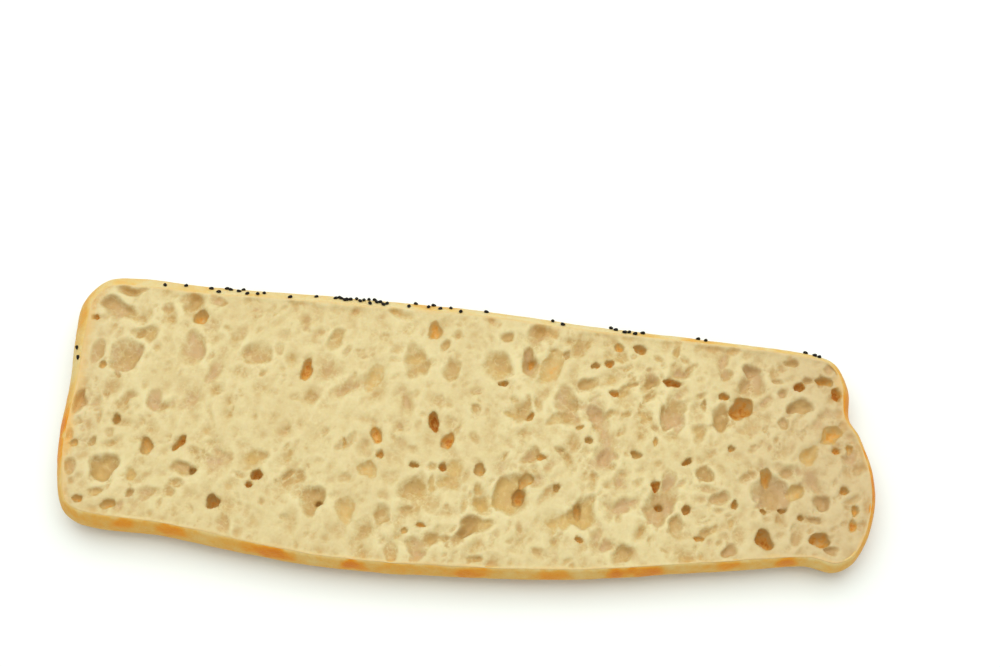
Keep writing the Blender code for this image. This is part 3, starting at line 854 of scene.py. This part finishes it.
def crumb_finish():
    """Moist dough: pale crests and strands, and cream between them; the crests and strands are paler as
    painted highlight. The cups are tan as painted shade, darker the deeper they are, with a grain of finer
    bubbles, pale films across them, dark specks, and tints of their own. It is warmer near the crust and
    towards the ends, where skin shows through at the edge, and brown to orange brown down the holes, as
    painted shade and painted glow of light scattered through the crumb."""
    finish = Finish("crumb", Specular_IOR_Level=0.25, Subsurface_Weight=0.3, Subsurface_Scale=0.8 * MM)
    finish.shader.inputs["Subsurface Radius"].default_value = (1.0, 0.6, 0.3)
    fine = finish.noise(1.2, 2.0)
    grain = finish.step(finish.noise(3.2, 2.0), 0.3, 0.7)
    broad = finish.noise(16.0, 3.0)
    film = finish.noise(5.0, 3.0) - 0.5
    film = 1 - finish.step(film * film, 0.0002, 0.004)
    tan = finish.value("tan")
    # The ramp's input: painted shade from the cup value, painted shade in hollows and painted highlight on
    # crests from the cavity value, and grain, fine and broad noise for the dough's own uneven tone.
    shade = tan * (0.7 + grain * 0.8 - film * 0.8) + finish.value("cavity") * 0.25
    shade = shade + (fine - 0.5) * 0.2 + (grain - 0.5) * 0.1 + (broad - 0.5) * 0.4 + 0.26
    # From the pale crest colour, where the painted highlight lies, to the darkest cup tan, where the painted
    # shade lies.
    stops = [
        (0.0, (0.71, 0.61, 0.315)), (0.25, (0.65, 0.535, 0.258)), (0.5, (0.595, 0.46, 0.205)),
        (0.75, (0.555, 0.40, 0.16)), (1.0, (0.515, 0.342, 0.122)),
    ]
    colour = finish.add("ShaderNodeValToRGB", {"stops": stops}, {0: shade}, "Color")
    in_cup = finish.step(tan, 0.1, 0.55)
    tint = finish.value("tint")
    colour = finish.mix(colour, (0.64, 0.45, 0.15), finish.step(tint, 0.1, 0.9) * in_cup * 0.6)
    colour = finish.mix(colour, (0.60, 0.42, 0.235), finish.step(tint * -1.0, 0.1, 0.9) * in_cup * 0.5)
    colour = finish.mix(colour, (0.64, 0.39, 0.12), finish.value("rim") * in_cup * 0.6)
    colour = finish.mix(colour, (0.51, 0.35, 0.18), finish.value("warm") * 0.4)
    colour = finish.mix(colour, (0.74, 0.44, 0.12), finish.value("skin") * (0.7 + grain * 0.3))
    specks = finish.add("ShaderNodeTexVoronoi", {}, {"Vector": finish.place, "Scale": 1 / 3.5}, "Distance")
    specks = (1 - finish.step(specks, 0.06, 0.22)) * in_cup * fine
    colour = finish.mix(colour, (0.42, 0.26, 0.09), specks)
    # Painted shade and glow down the deep holes: the colour goes to tan, orange and dark brown with depth.
    deep = finish.value("deep") * (0.7 + grain * 0.6 - film * 0.2)
    colour = finish.mix(colour, (0.59, 0.395, 0.132), finish.step(deep, 0.02, 0.35) * 0.8)
    colour = finish.mix(colour, (0.67, 0.355, 0.068), finish.step(deep, 0.35, 0.75) * 0.9)
    colour = finish.mix(colour, (0.48, 0.168, 0.016), finish.step(deep, 0.65, 1.05) * 0.9)
    normal = finish.bump(grain * tan, 0.2)
    return finish.feed(Base_Color=colour, Roughness=0.42 + fine * 0.2, Normal=finish.bump(fine, 0.16, normal))


def make_crumb():
    """Spreads the grid between the four sides of the crumb's edge, opens the deep holes in it, and lowers it
    from the cut by the depth of the foam, the holes and the shoulder. Hidden walls and a base close it."""
    sides, way_round, curve, side, top = crumb_edges()
    rim = np.column_stack([curve - side * side_inset(top)[:, None], top])
    inset = CRUMB_RIM_INSET * (1 + 0.5 * smooth_noise(rim, 7, 44))
    edge = rim[:, :2] + side * (swelling(rim) - inset)[:, None]
    near, right, far, left = (on_outline(reach, way_round, edge) for reach in sides)
    edge_grid = patch(near, right, far[::-1], left[::-1])
    flat = edge_grid.copy()
    shift = np.zeros(flat.shape)
    sunk, hole_shade_and_glow = np.zeros(flat.shape[:2]), np.zeros(flat.shape[:2])
    draws = np.random.default_rng(FILLER_DRAW).random((len(HOLES), 6))
    for hole, draw in zip(HOLES, draws):
        open_hole(flat, shift, sunk, hole_shade_and_glow, hole, draw)
    u = np.linspace(0, 1, CRUMB_COLUMNS)[:, None]
    v = np.linspace(0, 1, CRUMB_ROWS)[None]
    from_edge = np.minimum(np.minimum(u, 1 - u) * CRUMB_LENGTH, np.minimum(v, 1 - v) * CRUMB_WIDTH)
    free = eased(from_edge, 0, 3)[..., None]
    flat = edge_grid + (flat - edge_grid) * free
    shift = shift * free
    level = np.concatenate([flat, np.zeros(flat.shape[:2] + (1,))], axis=-1)
    depth, tan, tint = foam(level, edge_grid)
    from_crown = np.minimum(from_edge, (1 - v) * CRUMB_WIDTH / 1.8)
    from_crown = from_crown + 0.8 * smooth_noise(level, 6, 47) * eased(from_edge, 0, 3)
    uneven = 1.5 * smooth_noise(level, 9, 48)
    orange = 0.5 + 0.5 * np.exp(-(((level[..., 1] + 15) / 13) ** 2))
    skin_left = orange * (1 - eased(u * CRUMB_LENGTH + uneven, 0.5, 6))
    skin_right = 0.5 * (1 - eased((1 - u) * CRUMB_LENGTH + uneven, 0, 2.5))
    skin_side = 0.4 * (1 - eased(np.minimum(v, 1 - v) * CRUMB_WIDTH + 0.4 * uneven, 0.2, 1.8))
    depth = depth * eased(from_crown, 0, 2.6)
    tan = tan * eased(from_crown, -0.5, 2.0)
    sunk = sunk * (1 + 0.18 * smooth_noise(level, 3.2, 57)) * eased(from_edge, 0, 2)
    total = depth + sunk + CRUMB_SHOULDER * (1 - eased(from_edge, 0, 1.6)) + 0.03
    height = cut_height(flat[..., 0], flat[..., 1]) - total
    surface = np.concatenate([flat + shift, height[..., None]], axis=-1)
    rings = crumb_walls(sides, way_round, curve, side, top)
    points = np.concatenate([surface.reshape(-1, 3), *rings, [(0, 0, CRUMB_BASE)]])
    # The cavity value is painted shade in hollows and painted highlight on crests, the cup value is painted
    # shade in the cups, and the deep value is painted shade and glow down the holes.
    values = {
        "cavity": depth - blurred(depth, 5), "tan": tan, "deep": hole_shade_and_glow, "tint": blurred(tint, 1),
        "rim": 1 - eased(from_edge, 1, 7), "skin": np.maximum(np.maximum(skin_left, skin_right), skin_side),
        "warm": eased(level[..., 0], 95, 195) + 0.5 * eased(-level[..., 0], 160, 200),
    }
    hidden = np.zeros(len(points) - tan.size)
    values = {name: np.concatenate([value.ravel(), hidden]) for name, value in values.items()}
    return add_piece("crumb", points, crumb_faces(len(rings)), crumb_finish(), values)


make_crumb()


# The seeds are small, black and angular, scattered over the crown before the loaf was baked and stuck to it.
# They lie in clusters along the far edge, with two at the left end.

SEED_LENGTH = 2.8
SEED_WIDTH = 1.9
SEED_SINK = 0.3
SEED_SIDES = 8
SEED_RINGS = 6

# Clusters of seeds: the middle along the edge, how far it spreads to each side, and how many seeds it has.
FAR_EDGE_SEEDS = [
    (-150, 13, 2), (-122, 14, 9), (-88, 8, 2), (-64, 10, 11), (-49, 5, 5), (-22, 17, 7), (5, 1, 1),
    (40, 5, 2), (76, 11, 6), (113, 9, 2), (171, 5, 3),
]
LEFT_END_SEEDS = [(20, 5, 2)]
SEED_STRIP = (0.03, 0.38)
SEED_OUTLINE_STEPS = 1320
SEED_DRAW = 7


def crown_point(widest, side, edge_height, down):
    """A point on the crown, a share of the way down from the cut edge to the widest line."""
    height = edge_height + (WIDEST_HEIGHT - edge_height) * down
    x, y = widest - side * side_inset(height)
    return Vector((x, y, height))


def seed_places():
    """Each seed's point on the crown, the way out of the crust there, and its turn. The draws start fixed."""
    draw = random.Random(SEED_DRAW)
    curve = widest_outline(SEED_OUTLINE_STEPS)
    side = outward(curve)
    edge_height = cut_edge(curve, side)[1]
    places = []
    for clusters, axis, in_reach in (
        (FAR_EDGE_SEEDS, 0, curve[:, 1] > 0),
        (LEFT_END_SEEDS, 1, curve[:, 0] < 0),
    ):
        for middle, spread, count in clusters:
            for number in range(count):
                goal = middle + spread * (2 * (number + draw.random()) / count - 1)
                along = int(np.argmin(np.where(in_reach, np.abs(curve[:, axis] - goal), np.inf)))
                down = draw.uniform(*SEED_STRIP)
                here = (curve[along], side[along], edge_height[along])
                spot = crown_point(*here, down)
                down_crown = crown_point(*here, down + 0.05) - spot
                along_edge = Vector((-side[along][1], side[along][0], 0.0))
                places.append((spot, down_crown.cross(along_edge).normalized(), draw.uniform(0, math.pi)))
    return places


def seed_form():
    """One seed along X: rings round its length whose radius swells as a sine drawn to one end, so that it is
    a teardrop, with every other side a little proud. The last two points are its tips."""
    along = np.linspace(0, 1, SEED_RINGS + 2)[1:-1]
    way = np.linspace(0, 2 * math.pi, SEED_SIDES, endpoint=False)
    radius = np.sin(math.pi * along**0.75) ** 0.65
    proud = 1 + 0.07 * np.cos(4 * way)
    rings = np.stack([
        np.broadcast_to((along[:, None] - 0.5) * SEED_LENGTH, (SEED_RINGS, SEED_SIDES)),
        radius[:, None] * proud * np.cos(way) * SEED_WIDTH / 2,
        radius[:, None] * proud * np.sin(way) * SEED_WIDTH / 2 * 0.85,
    ], axis=-1).reshape(-1, 3)
    tips = np.array([(-SEED_LENGTH / 2, 0, 0), (SEED_LENGTH / 2, 0, 0)])
    number = np.arange(SEED_RINGS * SEED_SIDES).reshape(SEED_RINGS, SEED_SIDES)
    ahead = np.roll(number, -1, axis=1)
    walls = np.stack([number[:-1], ahead[:-1], ahead[1:], number[1:]], axis=-1).reshape(-1, 4)
    first, last = len(rings), len(rings) + 1
    start = np.stack([ahead[0], number[0], np.full(SEED_SIDES, first)], axis=1)
    end = np.stack([number[-1], ahead[-1], np.full(SEED_SIDES, last)], axis=1)
    return np.concatenate([rings, tips]), [walls[:, ::-1], start[:, ::-1], end[:, ::-1]]


def seed_finish():
    """Dull black seed coat with faint brown patches that are painted highlights."""
    finish = Finish("seed", Specular_IOR_Level=0.15)
    highlight_patches = finish.noise(0.5, 3.0)
    # Painted highlights: faint brown patches on the black.
    colour = finish.mix((0.006, 0.005, 0.004), (0.03, 0.02, 0.012), finish.step(highlight_patches, 0.45, 0.75))
    return finish.feed(Base_Color=colour, Roughness=0.5 + highlight_patches * 0.3, Normal=finish.bump(highlight_patches, 0.08))


def make_seeds():
    form, faces = seed_form()
    turns, spots = [], []
    for spot, out, turn in seed_places():
        turns.append(out.to_track_quat("Z", "Y").to_matrix() @ Matrix.Rotation(turn, 3, "Z"))
        spots.append(spot + out * (0.5 - SEED_SINK) * SEED_WIDTH)
    points = np.einsum("sij,pj->spi", np.array(turns), form) + np.array(spots)[:, None]
    every = np.arange(len(spots))[:, None, None] * len(form)
    joined = [(part[None] + every).reshape(-1, part.shape[1]) for part in faces]
    return add_piece("seeds", points.reshape(-1, 3), joined, seed_finish(), {})


make_seeds()


# The floor is a plain white sheet, lit from all round and by one broad soft light above and behind the loaf.
# The camera stands as it did for the photograph, a little right of square and looking steeply down.

FLOOR_SIZE = 6000
FLOOR_DROP = 0.2
FLOOR_WHITE = (0.88, 0.935, 0.895)
SKY_STRENGTH = 0.62
LAMP_SIZE = (1800, 1400)
LAMP_PLACE = (-60, 380, 1400)
LAMP_POWER = 18
CAMERA_PLACE = (46.6, -270.05, 757.7)
CAMERA_FORWARD = (-0.0425, 0.4045, -0.9135)
CAMERA_RIGHT = (0.9945, 0.1045, 0.0)
CAMERA_LENS = 57.6


def make_floor():
    corners = np.array([(-1, -1), (1, -1), (1, 1), (-1, 1)]) * FLOOR_SIZE / 2 * MM
    mesh = bpy.data.meshes.new("floor")
    mesh.from_pydata([(x, y, -FLOOR_DROP * MM) for x, y in corners.tolist()], [], [(0, 1, 2, 3)])
    material = bpy.data.materials.new("floor")
    material.use_nodes = True
    shader = material.node_tree.nodes["Principled BSDF"]
    shader.inputs["Base Color"].default_value = (*FLOOR_WHITE, 1)
    shader.inputs["Roughness"].default_value = 0.9
    shader.inputs["Specular IOR Level"].default_value = 0.1
    mesh.materials.append(material)
    floor = bpy.data.objects.new("floor", mesh)
    bpy.context.scene.collection.objects.link(floor)


def make_lights():
    world = bpy.data.worlds.new("studio")
    world.use_nodes = True
    world.node_tree.nodes["Background"].inputs["Color"].default_value = (1, 1, 1, 1)
    world.node_tree.nodes["Background"].inputs["Strength"].default_value = SKY_STRENGTH
    bpy.context.scene.world = world
    lamp = bpy.data.lights.new("softbox", "AREA")
    lamp.shape = "RECTANGLE"
    lamp.size, lamp.size_y = (size * MM for size in LAMP_SIZE)
    lamp.energy = LAMP_POWER
    softbox = bpy.data.objects.new("softbox", lamp)
    softbox.location = Vector(LAMP_PLACE) * MM
    softbox.rotation_euler = Vector(LAMP_PLACE).to_track_quat("Z", "Y").to_euler()
    bpy.context.scene.collection.objects.link(softbox)
    bpy.context.scene.view_settings.view_transform = "Standard"


def make_camera():
    forward, right = Vector(CAMERA_FORWARD).normalized(), Vector(CAMERA_RIGHT).normalized()
    up = right.cross(forward)
    lens = bpy.data.cameras.new("camera")
    lens.lens = CAMERA_LENS
    lens.sensor_width = 36
    camera = bpy.data.objects.new("camera", lens)
    turn = Matrix((right, up, -forward)).transposed().to_4x4()
    camera.matrix_world = Matrix.Translation(Vector(CAMERA_PLACE) * MM) @ turn
    bpy.context.scene.collection.objects.link(camera)
    bpy.context.scene.camera = camera


make_floor()
make_lights()
make_camera()
